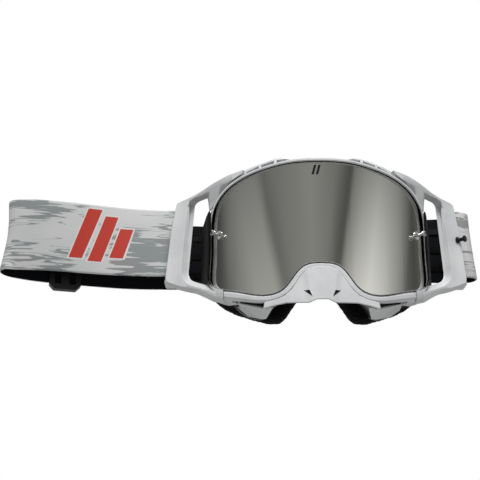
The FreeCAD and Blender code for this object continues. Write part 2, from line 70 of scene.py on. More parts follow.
# ------------------------------------------------------------------ node helpers
class Graph:
    """The node tree of a material or a world, with short ways to add and link nodes."""

    def __init__(self, owner):
        self.owner = owner
        owner.use_nodes = True
        self.nodes, self.links = owner.node_tree.nodes, owner.node_tree.links

    def add(self, kind, inputs=None, **settings):
        node = self.nodes.new(kind)
        for key, value in settings.items():
            setattr(node, key, value)
        for key, value in (inputs or {}).items():
            self.put(node, key, value)
        return node

    def put(self, node, key, value):
        if isinstance(value, bpy.types.NodeSocket):
            self.links.new(value, node.inputs[key])
        else:
            node.inputs[key].default_value = value

    def place(self, kind="Object"):
        return self.add("ShaderNodeTexCoord").outputs[kind]

    def split(self, vector):
        return self.add("ShaderNodeSeparateXYZ", {0: vector}).outputs

    def scaled(self, vector, scale):
        return self.add("ShaderNodeMapping", {"Vector": vector, "Scale": scale}).outputs[0]

    def noise(self, vector, scale, detail=4.0, rough=0.55, distortion=0.0):
        return self.add("ShaderNodeTexNoise", {"Vector": vector, "Scale": scale,
                                               "Detail": detail, "Roughness": rough,
                                               "Distortion": distortion}).outputs["Fac"]

    def math(self, operation, a, b=0.0, c=None):
        node = self.add("ShaderNodeMath", {0: a, 1: b}, operation=operation)
        if c is not None:
            self.put(node, 2, c)
        return node.outputs[0]

    def ramp(self, factor, stops, smooth=True):
        node = self.add("ShaderNodeValToRGB", {"Fac": factor})
        node.color_ramp.interpolation = "EASE" if smooth else "LINEAR"
        while len(node.color_ramp.elements) < len(stops):
            node.color_ramp.elements.new(0.5)
        for element, (spot, colour) in zip(node.color_ramp.elements, stops):
            element.position = spot
            element.color = (*colour, 1) if len(colour) == 3 else colour
        return node.outputs["Color"]

    def level(self, value, low=0.0, high=1.0, start=0.0, end=1.0):
        """Map start..end onto low..high, held beyond both ends."""
        return self.add("ShaderNodeMapRange", {"Value": value, "From Min": start,
                                               "From Max": end, "To Min": low,
                                               "To Max": high}).outputs[0]

    def mix(self, factor, a, b, blend="MIX"):
        node = self.add("ShaderNodeMix", data_type="RGBA", blend_type=blend)
        self.put(node, 0, factor)
        self.put(node, 6, a)
        self.put(node, 7, b)
        return node.outputs[2]

    def bump(self, height, strength, distance, onto=None):
        node = self.add("ShaderNodeBump", {"Height": height, "Strength": strength,
                                           "Distance": distance * MM})
        if onto is not None:
            self.links.new(onto, node.inputs["Normal"])
        return node.outputs[0]

    def finish(self, **sockets):
        """Set the shader's sockets and give back the material."""
        for key, value in sockets.items():
            self.put(self.nodes["Principled BSDF"], key.replace("_", " "), value)
        return self.owner


def material_graph(name):
    return Graph(bpy.data.materials.new(name))


def grey(value):
    return (value, value, value)


# ------------------------------------------------------------------ materials
# Where the frame is painted black, in mm: its uprights beside the lens, and, as a painted shade,
# its hidden underside.
UPRIGHT_X, UPRIGHT_LOW, UPRIGHT_HIGH = 63.9, -33, 11
UNDERSIDE_Z, UNDERSIDE_RADIUS = -41, 79
MOULDED_LINES, WEAVE_PICKS = 1.9, 0.7


def white_plastic(name, lined_and_shaded=False, dark_sides_and_shade=False):
    """Satin white moulding; lined_and_shaded adds the outriggers' fine moulded lines and paints
    shade grey onto the downward faces of their upper arm, and dark_sides_and_shade paints the
    upright runs of the rim beside the lens black and paints shade black onto the frame's
    hidden underside behind the bead."""
    g = material_graph(name)
    spot = g.place()
    mottle = g.noise(spot, 60, 3)
    fine = g.noise(spot, 2600, 2)
    normal = g.bump(fine, 0.10, 0.05)
    if lined_and_shaded:
        height = g.split(spot)[2]
        lines = g.math("SINE", g.math("MULTIPLY", height, 2 * math.pi / (MOULDED_LINES * MM)))
        groove = g.math("POWER", g.math("MAXIMUM", lines, 0), 6)
        normal = g.bump(groove, 0.14, -0.10, normal)
    tint = g.ramp(mottle, [(0.3, (0.60, 0.612, 0.62)), (0.7, (0.68, 0.685, 0.69))])
    if lined_and_shaded:
        # Painted shade: faces of the upper arm that point downward are painted grey.
        under = g.level(g.split(g.place("Normal"))[2], start=-0.30, end=-0.52)
        upper = g.level(height, start=14 * MM, end=22 * MM)
        tint = g.mix(g.math("MULTIPLY", under, upper), tint, (0.44, 0.445, 0.45, 1))
    if dark_sides_and_shade:
        x, y, z = g.split(spot)[:3]
        outer = g.math("GREATER_THAN", g.math("ABSOLUTE", x), UPRIGHT_X * MM)
        under = g.math("LESS_THAN", z, UPRIGHT_HIGH * MM)
        over = g.math("GREATER_THAN", z, UPRIGHT_LOW * MM)
        painted = g.math("MULTIPLY", outer, g.math("MULTIPLY", under, over))
        # Painted shade: the frame's underside behind the bead, low and near the lens axis, is
        # painted black.
        low = g.math("LESS_THAN", z, UNDERSIDE_Z * MM)
        inward = g.math("SUBTRACT", y, LENS_AXIS * MM)
        reach = g.math("SQRT", g.math("ADD", g.math("MULTIPLY", inward, inward),
                                      g.math("MULTIPLY", x, x)))
        behind = g.math("LESS_THAN", reach, UNDERSIDE_RADIUS * MM)
        painted = g.math("MAXIMUM", painted, g.math("MULTIPLY", low, behind))
        tint = g.mix(painted, tint, (0.006, 0.005, 0.005, 1))
    return g.finish(Base_Color=tint, Roughness=g.level(mottle, 0.30, 0.42), Normal=normal,
                    Specular_IOR_Level=0.45)


def mirror_lens():
    """Silver mirror coating, a little warm, with faint wipe marks."""
    g = material_graph("lens_mirror_coating")
    wipe = g.noise(g.scaled(g.place(), (260, 260, 25)), 1, 3)
    edge = g.add("ShaderNodeLayerWeight", {"Blend": 0.35}).outputs["Facing"]
    tint = g.ramp(edge, [(0.0, (0.615, 0.612, 0.565)), (0.45, (0.615, 0.625, 0.59)),
                         (1.0, (0.48, 0.56, 0.57))])
    return g.finish(Base_Color=tint, Metallic=1.0, Roughness=g.level(wipe, 0.045, 0.085))


def plain_gloss(name, value, rough, metallic=0.0, bump=0.05, scale=900, shine=0.5):
    """Even grey plastic, rubber or metal with a fine grain."""
    g = material_graph(name)
    grain = g.noise(g.place(), scale, 3)
    tint = g.ramp(grain, [(0.3, grey(value * 0.85)), (0.7, grey(value * 1.15))])
    return g.finish(Base_Color=tint, Metallic=metallic, Specular_IOR_Level=shine,
                    Roughness=g.level(grain, rough * 0.8, rough * 1.25),
                    Normal=g.bump(grain, bump, 0.04))


def foam(name, dark, light, cell=1500):
    """Open-cell foam: a dull surface whose small pores are painted darker, a painted shade in
    them.
    """
    g = material_graph(name)
    spot = g.place()
    pores = g.add("ShaderNodeTexVoronoi", {"Vector": spot, "Scale": cell}).outputs["Distance"]
    cloud = g.noise(spot, 140, 4)
    # Painted shade: the pores are painted darker.
    tint = g.mix(g.level(pores, 0.0, 1.0), (*dark, 1), (*light, 1))
    tint = g.mix(g.level(cloud, 0.0, 0.35), tint, (*grey(sum(light) / 3 * 1.2), 1))
    return g.finish(Base_Color=tint, Roughness=0.95, Specular_IOR_Level=0.15,
                    Normal=g.bump(pores, 0.6, 0.35))


def fleece():
    """Brushed black fleece: short fibres give a soft rim of light."""
    g = material_graph("fleece_nap")
    spot = g.place()
    fibre = g.noise(spot, 2200, 5, 0.7, 0.8)
    patch = g.noise(spot, 180, 4)
    tint = g.ramp(g.math("ADD", g.math("MULTIPLY", fibre, 0.6), g.math("MULTIPLY", patch, 0.4)),
                  [(0.35, (0.012, 0.012, 0.014)), (0.68, (0.045, 0.045, 0.05))])
    return g.finish(Base_Color=tint, Roughness=1.0, Specular_IOR_Level=0.1,
                    Sheen_Weight=0.35, Sheen_Roughness=0.5,
                    Normal=g.bump(fibre, 0.8, 0.4, g.bump(patch, 0.3, 0.8)))


def webbing(g, vector, pitch=0.9):
    """Height of an elastic weave: ribs along the strap crossed by fine picks."""
    along, across = g.split(vector)[:2]
    rib, pick = (g.math("ABSOLUTE", g.math("SINE", g.math("MULTIPLY", way, math.pi / (gap * MM))))
                 for way, gap in ((across, pitch), (along, WEAVE_PICKS)))
    return g.math("MULTIPLY", rib, g.level(pick, 0.45, 1.0))


def strap_print():
    """Light grey elastic printed with mid-grey patches whose ends are torn into streaks."""
    g = material_graph("strap_printed_face")
    uv = g.place("UV")
    weave = webbing(g, uv)
    along, across = g.split(uv)[:2]
    streak = g.noise(g.scaled(uv, (22, 700, 1)), 1, 1.5, 0.5)
    sweep = g.noise(g.scaled(uv, (30, 260, 1)), 1, 1, 0.5)
    shift = g.math("ADD", g.math("MULTIPLY", g.math("SUBTRACT", streak, 0.5), 0.060),
                   g.math("MULTIPLY", g.math("SUBTRACT", sweep, 0.5), 0.055))
    torn = g.add("ShaderNodeCombineXYZ", {0: g.math("ADD", along, shift),
                                          1: across, 2: 0.37}).outputs[0]
    patches = g.noise(g.scaled(torn, (52, 130, 1)), 1, 1.5, 0.5)
    mask = g.ramp(patches, [(0.520, (0, 0, 0)), (0.532, (1, 1, 1))], False)
    tone = g.noise(g.scaled(uv, (30, 40, 1)), 1, 1)
    mid = g.ramp(tone, [(0.42, (0.285, 0.289, 0.286)), (0.60, (0.266, 0.290, 0.292))])
    pale = g.ramp(tone, [(0.40, (0.62, 0.62, 0.62)), (0.60, (0.585, 0.595, 0.595))])
    tint = g.mix(mask, pale, mid)
    # Painted shade: the weave's grooves are painted a little darker.
    tint = g.mix(g.level(weave, 0.09, 0.0), tint, (0.12, 0.12, 0.12, 1))
    return g.finish(Base_Color=tint, Roughness=0.85, Specular_IOR_Level=0.2,
                    Sheen_Weight=0.12, Normal=g.bump(weave, 0.20, 0.12))


def strap_inner():
    """Black woven side of the elastic."""
    g = material_graph("strap_black_face")
    weave = webbing(g, g.place("UV"), 1.1)
    # Painted shade: the weave's grooves are painted darker than its ribs.
    tint = g.ramp(weave, [(0.0, (0.001, 0.001, 0.002)), (1.0, (0.008, 0.009, 0.011))])
    return g.finish(Base_Color=tint, Roughness=0.9, Specular_IOR_Level=0.12,
                    Normal=g.bump(weave, 0.5, 0.25))


def emblem_print(name, tone):
    """Thick rubbery print that the weave still shows through."""
    g = material_graph(name)
    uv = g.place("UV")
    weave = webbing(g, uv)
    wear = g.noise(uv, 900, 4)
    darker = tuple(c * 0.86 for c in tone)
    tint = g.mix(g.level(wear, 0.0, 0.7), (*tone, 1), (*darker, 1))
    return g.finish(Base_Color=tint, Roughness=0.55, Normal=g.bump(weave, 0.15, 0.12))


def thread():
    """Pale twisted sewing thread."""
    g = material_graph("stitch_thread")
    twist = g.noise(g.place(), 4000, 2)
    tint = g.ramp(twist, [(0.3, grey(0.42)), (0.7, grey(0.66))])
    return g.finish(Base_Color=tint, Roughness=0.7, Normal=g.bump(twist, 0.4, 0.08))


LOOK = {
    "white": white_plastic("white_moulded_plastic"),
    "lined_and_shaded": white_plastic("white_lined_shaded_plastic", lined_and_shaded=True),
    "frame": white_plastic("white_frame_plastic_shaded", dark_sides_and_shade=True),
    "lens": mirror_lens(),
    "seal": plain_gloss("black_seal_rubber", 0.004, 0.6, shine=0.12),
    "chrome": plain_gloss("polished_chrome", 0.50, 0.12, 1.0, 0.01),
    "steel": plain_gloss("plain_steel", 0.42, 0.35, 1.0, 0.05),
    "black": plain_gloss("satin_black_plastic", 0.006, 0.42, bump=0.12, shine=0.3),
    "leaf": plain_gloss("matt_black_leaf", 0.005, 0.6, bump=0.3, scale=1400, shine=0.12),
    "gloss": plain_gloss("glossy_black_silicone", 0.006, 0.14),
    "foam": foam("black_open_cell_foam", (0.001, 0.001, 0.001), (0.007, 0.007, 0.008)),
    "pale_foam": foam("grey_vent_foam", (0.30, 0.30, 0.295), (0.40, 0.40, 0.395), 700),
    "fleece": fleece(),
    "print": strap_print(),
    "inner": strap_inner(),
    "red": emblem_print("emblem_red_print", (0.50, 0.026, 0.010)),
    "outline": emblem_print("emblem_pale_outline", (0.70, 0.70, 0.69)),
    "thread": thread(),
}


# ------------------------------------------------------------------ mesh helpers
SPLINE_ROUNDS = 40


def piece_from(name, mesh_data, materials, body, nodes=()):
    """Piece that rides on body, with one material or several, in place of CAD nodes."""
    piece = bpy.data.objects.new(name, mesh_data)
    bpy.context.scene.collection.objects.link(piece)
    for material in materials if isinstance(materials, list) else [materials]:
        piece.data.materials.append(material)
    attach(piece, body)
    if nodes:
        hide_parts(*nodes)
    return piece


def mesh_from_bmesh(name, bm, sharp=35.0):
    """Mesh with smooth faces whose edges over the sharp angle stay crisp."""
    bmesh.ops.remove_doubles(bm, verts=bm.verts, dist=1e-7)
    bmesh.ops.recalc_face_normals(bm, faces=bm.faces)
    limit = math.radians(sharp)
    for face in bm.faces:
        face.smooth = True
    for edge in bm.edges:
        edge.smooth = len(edge.link_faces) == 2 and edge.calc_face_angle(0) < limit
    data = bpy.data.meshes.new(name)
    bm.to_mesh(data)
    bm.free()
    return data


def both_sides(half):
    """Closed outline from its right half, which starts and ends on the middle line."""
    return list(half) + [(-x, z) for x, z in reversed(half[1:-1])]


def spline(points, step, closed=True):
    """Smooth cubic curve through points, sampled about every step; at most the first
    three numbers of a point measure length."""
    rows = [Vector(p) for p in points]
    count = len(rows)
    spans = count if closed else count - 1
    gaps = [max(math.dist(rows[i][:3], rows[(i + 1) % count][:3]), 1e-6)
            for i in range(spans)]
    slopes = [(rows[(i + 1) % count] - rows[i]) / gaps[i] for i in range(spans)]
    if closed:
        tangents = [(slopes[i - 1] + slopes[i]) * 0.5 for i in range(count)]
    else:
        tangents = [slopes[max(i - 1, 0)].lerp(slopes[min(i, spans - 1)], 0.5)
                    for i in range(count)]
    for _ in range(SPLINE_ROUNDS):
        for i in range(count):
            if not closed and i in (0, count - 1):
                j = 1 if i == 0 else count - 2
                slope = slopes[0] if i == 0 else slopes[-1]
                tangents[i] = slope * 1.5 - tangents[j] * 0.5
                continue
            h0, h1 = gaps[i - 1], gaps[i]
            pull = (slopes[i - 1] * h1 + slopes[i] * h0) * 3
            tangents[i] = (pull - tangents[i - 1] * h1
                           - tangents[(i + 1) % count] * h0) / (2 * (h0 + h1))
    out = []
    for i in range(spans):
        a, b, h = rows[i], rows[(i + 1) % count], gaps[i]
        m0, m1 = tangents[i] * h, tangents[(i + 1) % count] * h
        parts = max(1, round(h / step))
        for k in range(parts):
            t = k / parts
            out.append(a * (2 * t ** 3 - 3 * t ** 2 + 1) + m0 * (t ** 3 - 2 * t ** 2 + t)
                       + b * (3 * t ** 2 - 2 * t ** 3) + m1 * (t ** 3 - t ** 2))
    if not closed:
        out.append(rows[-1])
    return out


def fillet(outline, radii, widths, parts=5):
    """Round the corners of a closed polygon; the width of one edge blends into the
    width of the next one round the corner."""
    points, spread = [], []
    count = len(outline)
    for i in range(count):
        corner, radius = Vector(outline[i]), radii[i]
        before, after = Vector(outline[i - 1]), Vector(outline[(i + 1) % count])
        w0, w1 = widths[i - 1], widths[i]
        if radius <= 0:
            points.append(corner)
            spread.append(w1)
            continue
        reach = min(radius, (before - corner).length * 0.45, (after - corner).length * 0.45)
        a = corner + (before - corner).normalized() * reach
        b = corner + (after - corner).normalized() * reach
        for k in range(parts + 1):
            t = k / parts
            points.append(a * (1 - t) ** 2 + corner * 2 * t * (1 - t) + b * t ** 2)
            spread.append(w0 + (w1 - w0) * t if k < parts else w1)
    return points, spread


def inset(outline, widths):
    """Closed polygon whose edges are moved inward, each by its own width."""
    count = len(outline)
    area = sum(a[0] * b[1] - b[0] * a[1] for a, b in zip(outline, outline[1:] + outline[:1]))
    turn = 1 if area > 0 else -1
    lines = []
    for i in range(count):
        a, b = Vector(outline[i][:2]), Vector(outline[(i + 1) % count][:2])
        along = (b - a).normalized()
        inward = Vector((-along.y, along.x)) * turn
        lines.append((a + inward * widths[i], along))
    moved = []
    for i in range(count):
        (p, u), (q, w) = lines[i - 1], lines[i]
        cross = u.x * w.y - u.y * w.x
        if abs(cross) < 0.05:
            moved.append(q)
        else:
            moved.append(p + u * (((q - p).x * w.y - (q - p).y * w.x) / cross))
    return moved


def layered_plate(layers, bend, slices, holes=(), creases=()):
    """Solid from stacked outlines (outline, depth), front first; cut by upright planes at
    the slices and by the planes (point, normal) of the creases, and then bent by
    bend(x, depth, z) -> point."""
    bm = bmesh.new()
    rings = []
    for outline, depth in layers:
        rings.append([bm.verts.new((p[0], depth, p[1])) for p in outline])
    for upper, lower in zip(rings, rings[1:]):
        for i in range(len(upper)):
            j = (i + 1) % len(upper)
            bm.faces.new((upper[i], upper[j], lower[j], lower[i]))
    if holes:
        for ring, level in ((rings[0], 0), (rings[-1], -1)):
            edges = [bm.edges.get((ring[i], ring[(i + 1) % len(ring)])) for i in range(len(ring))]
            for hole in holes:
                loop = [bm.verts.new((p[0], layers[level][1], p[1])) for p in hole]
                edges += [bm.edges.new((loop[i], loop[(i + 1) % len(loop)]))
                          for i in range(len(loop))]
            bmesh.ops.triangle_fill(bm, use_beauty=True, edges=edges)
        bm.verts.ensure_lookup_table()
        at = sum(len(layer[0]) for layer in layers)
        step = sum(len(hole) for hole in holes)
        for hole in holes:
            for i in range(len(hole)):
                j = (i + 1) % len(hole)
                bm.faces.new((bm.verts[at + i], bm.verts[at + j],
                              bm.verts[at + step + j], bm.verts[at + step + i]))
            at += len(hole)
    else:
        bm.faces.new(rings[0])
        bm.faces.new(list(reversed(rings[-1])))
    for spot, normal in [((x, 0, 0), (1, 0, 0)) for x in slices] + list(creases):
        bmesh.ops.bisect_plane(bm, geom=bm.verts[:] + bm.edges[:] + bm.faces[:], dist=1e-5,
                               plane_co=spot, plane_no=normal)
    for vert in bm.verts:
        vert.co = Vector(bend(vert.co.x, vert.co.y, vert.co.z)) * MM
    return bm


def along_x(low, high, step):
    """Even places between low and high, about step apart."""
    count = max(2, int((high - low) / step))
    return [low + (high - low) * (i + 0.5) / count for i in range(count)]


def lens_bend(radius):
    """Lay a flat plate round the lens axis; depth counts inward from radius."""
    def bend(x, depth, z):
        return (x, LENS_AXIS - math.sqrt(max((radius - depth) ** 2 - x ** 2, 0.01)), z)
    return bend


# ------------------------------------------------------------------ lens
LENS_LINE = spline(both_sides(LENS_HALF), 2.0)


def grown(line, distance):
    """Closed line moved outward by distance."""
    return inset(line, [-distance] * len(line))


bm = layered_plate([(grown(LENS_LINE, -0.4), 0), (grown(LENS_LINE, -0.1), 0.3),
                    (grown(LENS_LINE, -0.1), LENS_WALL - 0.2),
                    (grown(LENS_LINE, -0.3), LENS_WALL)],
                   lens_bend(LENS_RADIUS), along_x(-65, 65, 1.6))
piece_from("mirror_lens", mesh_from_bmesh("mirror_lens", bm, 25), LOOK["lens"], "lens",
           ["lens"])


def ribbon_round(line, inner, outer, radius_in, radius_out):
    """Closed band round the lens, from inner to outer outside the line (outer is a list,
    one for each point) and between two radii."""
    bm = bmesh.new()
    rings = []
    inner_offsets = [inner] * len(line)
    for offsets, radius in ((inner_offsets, radius_in), (inner_offsets, radius_out),
                            (outer, radius_out), (outer, radius_in)):
        moved = inset(line, [-offset for offset in offsets])
        bend = lens_bend(radius)
        rings.append([bm.verts.new(Vector(bend(p[0], 0, p[1])) * MM) for p in moved])
    for ring, follow in zip(rings, rings[1:] + rings[:1]):
        for i in range(len(ring)):
            j = (i + 1) % len(ring)
            bm.faces.new((ring[i], ring[j], follow[j], follow[i]))
    return bm


# Black lip that closes the gap between the lens and the frame, widest along the bottom.
lip = [0.95 if p[1] < -24 else 0.05 + 0.7 * min(max((14 - p[1]) / 28, 0), 1)
       for p in LENS_LINE]
bm = ribbon_round(LENS_LINE, -0.05, lip, LENS_RADIUS - 0.9, LENS_RADIUS + 0.55)
piece_from("lens_edge_lip", mesh_from_bmesh("lens_edge_lip", bm, 50), LOOK["seal"], "lens")

# Bright raised edge of the frame above the lens; it thins out down the sides.
edge = [0.06 + 1.05 * min(max((p[1] - 6) / 14, 0), 1) for p in LENS_LINE]
bm = ribbon_round(LENS_LINE, 0.03, edge, LENS_RADIUS + 0.05, LENS_RADIUS + 2.45)
piece_from("brow_edge", mesh_from_bmesh("brow_edge", bm, 50), LOOK["white"], "frame")

# Two tiny leaning bars printed near the top of the lens.
for number, x in enumerate((-4.2, -1.6), start=1):
    bar = [(x - 0.7, 27.6), (x + 0.7, 27.6), (x + 2.3, 33.6), (x + 0.9, 33.6)]
    bm = layered_plate([(bar, 0.0), (bar, 0.08)], lens_bend(LENS_RADIUS + 0.09), [])
    name = "lens_mark_%d" % number
    piece_from(name, mesh_from_bmesh(name, bm, 40), LOOK["seal"], "lens")

# ------------------------------------------------------------------ outriggers
ARM_OUTLINE = [(44.6, 35.6), (55, 34.8), (69, 32.4), (85.7, 30.0), (89.2, 28.4),
               (92.4, 7), (95.0, -21.5), (94.2, -24.4), (85, -28.8), (73.9, -34.0),
               (63, -43.0), (56.8, -45.8), (56.8, -38.8), (60.4, -37.0), (64.4, -34.4),
               (65.9, -31.9), (80.0, -22.8), (76.4, 27.4), (68.0, 26.6), (66.8, 17.2),
               (65.2, 17.2), (63.0, 20.6), (58.6, 25.6), (53.6, 28.6), (46.8, 31.8)]
# Bevel of the edge that starts at each point, and rounding of each corner.
ARM_BEVEL = [1.0, 1.0, 1.0, 1.0, 0.9, 0.9, 0.9, 0.9, 1.0, 1.3, 1.3, 0.3, 0.4, 0.4, 0.6,
             4.2, 4.9, 1.2, 0.8, 0.4, 0.6, 0.6, 0.6, 0.6, 0.3]
ARM_ROUND = [0, 0, 0, 5, 4, 0, 3, 3, 0, 3, 0, 0, 0, 0, 0, 1, 5, 5, 1, 0, 0, 0, 0, 0, 0]
# The arm's front face seen from above, as (x, y), and its thickness where it is thinnest.
ARM_FRONT = [(38, -44.2), (48, -38.8), (57, -32.0), (66, -22.8), (72, -15.2), (80, -6.8),
             (88, -1.6), (104, 1.4)]
ARM_THICK, ARM_SPLIT, ARM_SLICE = 6.0, 8.0, 1.5
arm_line = spline(ARM_FRONT, 1.0, closed=False)


def arm_depth(x):
    """How far back the arm's front face lies at x."""
    for a, b in zip(arm_line, arm_line[1:]):
        if a.x <= x <= b.x:
            return a.y + (b.y - a.y) * (x - a.x) / (b.x - a.x)
    return arm_line[0].y if x < arm_line[0].x else arm_line[-1].y


# Above ARM_SPLIT, the arm's front is flat over this line and slopes back under it.
RIDGE_FROM, RIDGE_TO, RIDGE_SLOPE, RIDGE_MOST = (80.0, 27.8), (46.0, 30.6), 0.95, 4.8
RIDGE_DEPTH = 5.4


def ridge_height(x):
    share = (x - RIDGE_FROM[0]) / (RIDGE_TO[0] - RIDGE_FROM[0])
    return RIDGE_FROM[1] + share * (RIDGE_TO[1] - RIDGE_FROM[1])


def arm_bend(sign):
    """Lay a flat plate along the arm; it grows thicker toward the lens."""
    def bend(x, depth, z):
        thick = ARM_THICK + 1.6 * (100 - x) / 60
        below = ridge_height(x) - z if z > ARM_SPLIT and x < RIDGE_FROM[0] else 0.0
        back = min(max(below, 0.0) * RIDGE_SLOPE, RIDGE_MOST) * max(1 - depth / RIDGE_DEPTH, 0.0)
        return (sign * x, arm_depth(x) + depth / ARM_THICK * thick + back, z)
    return bend


LUG_SIZE, LUG_ROUND, LUG_Y = (6.8, 11.2, 3.2), 0.7, 9.4
LUG_HEIGHTS, LEAN_CENTRE = (("upper", 29.6), ("lower", -22.6)), 4.6


def lug_mesh():
    """Rounded block that holds an end of the strap bar."""
    bm = bmesh.new()
    bmesh.ops.create_cube(bm, size=1.0, matrix=Matrix.Diagonal([w * MM for w in LUG_SIZE] + [1]))
    bmesh.ops.bevel(bm, geom=bm.edges[:] + bm.verts[:], offset=LUG_ROUND * MM, segments=3,
                    affect="EDGES")
    return mesh_from_bmesh("bar_lug", bm, 50)


arm_outline, arm_bevel = fillet(ARM_OUTLINE, ARM_ROUND, ARM_BEVEL)


def arm_ring(share, most=math.inf):
    """The arm's outline moved inward by a share of its bevels, by most at the most."""
    return inset(arm_outline, [min(w * share, most) for w in arm_bevel])


run = (RIDGE_TO[0] - RIDGE_FROM[0], RIDGE_TO[1] - RIDGE_FROM[1])
ARM_CREASES = [((RIDGE_FROM[0], 0, RIDGE_FROM[1] - drop), (-run[1], 0, run[0]))
               for drop in (0.0, RIDGE_MOST / RIDGE_SLOPE)] + [((0, 0, ARM_SPLIT), (0, 0, 1))]
arm_layers = [(arm_ring(1.0), 0.0), (arm_ring(0.92), 0.12), (arm_ring(0.86), 0.5),
              (arm_ring(0.12), 4.9), (arm_outline, 5.3), (arm_ring(1.0, 0.5), ARM_THICK)]
for word, sign in SIDES:
    bm = layered_plate(arm_layers, arm_bend(sign),
                       along_x(44, 96, ARM_SLICE) + [RIDGE_FROM[0] + 0.02],
                       creases=ARM_CREASES)
    name = "outrigger_shell_" + word
    piece_from(name, mesh_from_bmesh(name, bm, 42), LOOK["lined_and_shaded"], "frame",
               ["outrigger_" + word])
    for spot, z in LUG_HEIGHTS:
        lug = piece_from("bar_lug_%s_%s" % (word, spot), lug_mesh(), LOOK["white"], "frame")
        lug.location = Vector((sign * (ROD_X - ROD_LEAN * (z - LEAN_CENTRE)), LUG_Y, z)) * MM

# ------------------------------------------------------------------ lower air scoops
# Corners of the scoop's underside, below the frame's lower bead, on the right side.
SCOOP = {"F": (27.7, -37.4, -51.0), "A": (32.9, -39.6, -53.0), "B": (34.6, -17.5, -53.2),
         "G": (31.6, -17.0, -52.8), "C": (42.6, -21.5, -52.9), "D": (47.0, -28.5, -51.1),
         "E": (48.4, -33.0, -47.8)}
SCOOP_RIM, SCOOP_BACK, SCOOP_TALL, SCOOP_ROUND = "FAEDCBG", 1.0, 4.0, 0.8
# Black plate put as a painted shade in the opening between the bead and the scoop, as (x, z) on a
# cylinder round the lens axis.
WEDGE, WEDGE_RADIUS = [(32.6, -48.6), (33.0, -52.4), (46.9, -47.8), (47.4, -45.8)], 82.9
for word, sign in SIDES:
    bm = bmesh.new()
    low = {k: bm.verts.new(Vector((sign * p[0], p[1], p[2])) * MM) for k, p in SCOOP.items()}
    high = {k: bm.verts.new(Vector((sign * p[0], p[1] + SCOOP_BACK, p[2] + SCOOP_TALL)) * MM)
            for k, p in SCOOP.items()}
    bm.faces.new([low[k] for k in "FABG"])
    bm.faces.new([low[k] for k in "AEDCB"])
    bm.faces.new([high[k] for k in SCOOP_RIM])
    for k, j in zip(SCOOP_RIM, SCOOP_RIM[1:] + SCOOP_RIM[:1]):
        bm.faces.new((low[k], low[j], high[j], high[k]))
    bmesh.ops.recalc_face_normals(bm, faces=bm.faces)
    rounded, bottom = {low["B"], low["C"], low["D"]}, set(low.values())
    corners = [edge for edge in bm.edges
               if rounded & set(edge.verts) and set(edge.verts) <= bottom]
    bmesh.ops.bevel(bm, geom=[low["C"], low["D"]] + corners, offset=SCOOP_ROUND * MM,
                    segments=3, affect="EDGES")
    name = "lower_scoop_" + word
    piece_from(name, mesh_from_bmesh(name, bm, 30), LOOK["white"], "frame")
    wedge = [(sign * x, z) for x, z in WEDGE]
    bm = layered_plate([(wedge, 0), (wedge, 0.8)], lens_bend(WEDGE_RADIUS), along_x(-48, 48, 2.0))
    name = "scoop_shade_plate_" + word
    piece_from(name, mesh_from_bmesh(name, bm, 30), LOOK["seal"], "frame")

# ------------------------------------------------------------------ nose guard
GUARD_HALF = [(0, -31.2), (4.4, -31.6), (8.9, -33.0), (11.6, -35.6), (14.4, -39.8),
              (17.6, -44.6), (21.4, -47.9), (26, -49.7), (33, -50.9), (33.6, -54.6),
              (27, -53.4), (20.4, -52.4), (13.8, -52.6), (7.2, -52.8), (3.2, -51), (0, -51)]
SLOT = [(10.8, -45.4), (7.4, -45.4), (5.6, -49.8)]
SLOT_SHADE, SHADE_RADIUS = [(11.4, -45.0), (7.0, -45.0), (5.2, -50.3)], 86.0
GUARD_RADIUS, PANEL_LIFT, HOLLOW_SLOPE, HOLLOW_MOST = 87.3, 0.75, 0.34, 0.25


def guard_bend(x, depth, z):
    """The guard's face: a raised panel between two creases that meet toward the bottom,
    with a shallow hollow on each side of it."""
    crease = 6.2 + (z + 50) * 0.16
    beside = abs(x) - crease
    lift = PANEL_LIFT if beside < 0 else max(PANEL_LIFT - beside * HOLLOW_SLOPE, -HOLLOW_MOST)
    return (x, LENS_AXIS - math.sqrt((GUARD_RADIUS - depth) ** 2 - x ** 2) - lift, z)


guard = both_sides(GUARD_HALF)
bm = layered_plate([(grown(guard, -0.35), 0.0), (grown(guard, -0.08), 0.18), (guard, 0.5),
                    (guard, 0.95)], guard_bend,
                   along_x(-33.4, 33.4, 0.9), holes=[SLOT, [(-x, z) for x, z in SLOT]])
for level in range(-53, -32, 2):
    bmesh.ops.bisect_plane(bm, geom=bm.verts[:] + bm.edges[:] + bm.faces[:], dist=1e-8,
                           plane_co=(0, 0, level * MM), plane_no=(0, 0, 1))
piece_from("nose_guard_face", mesh_from_bmesh("nose_guard_face", bm, 18), LOOK["white"],
           "nose_guard", ["nose_guard"])
for word, sign in SIDES:
    hollow = [(sign * x, z) for x, z in SLOT_SHADE]
    bm = layered_plate([(hollow, 0), (hollow, 0.4)], lens_bend(SHADE_RADIUS), [])
    name = "nose_slot_shade_" + word
    piece_from(name, mesh_from_bmesh(name, bm, 30), LOOK["black"], "nose_guard")

# ------------------------------------------------------------------ carried-over CAD nodes
NODE_LOOKS = {"front_frame": "frame", "face_flange": "frame", "lens_seal": "seal",
              "strap_bar_left": "steel", "strap_bar_right": "steel",
              "tear_off_post_left": "chrome", "tear_off_post_right": "chrome",
              "tab_stud": "black", "strap_slider": "black",
              "grip_line_1": "gloss", "grip_line_2": "gloss", "grip_line_3": "gloss"}
for name, look in NODE_LOOKS.items():
    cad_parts[name].data.materials.clear()
    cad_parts[name].data.materials.append(LOOK[look])

# ------------------------------------------------------------------ strap
HALF_WIDTH, HALF_WALL = 22.5, 0.9
WRAP_RADIUS = 2 + HALF_WALL + 0.45
WRAP_LEAN = math.tan(math.radians(7.0))


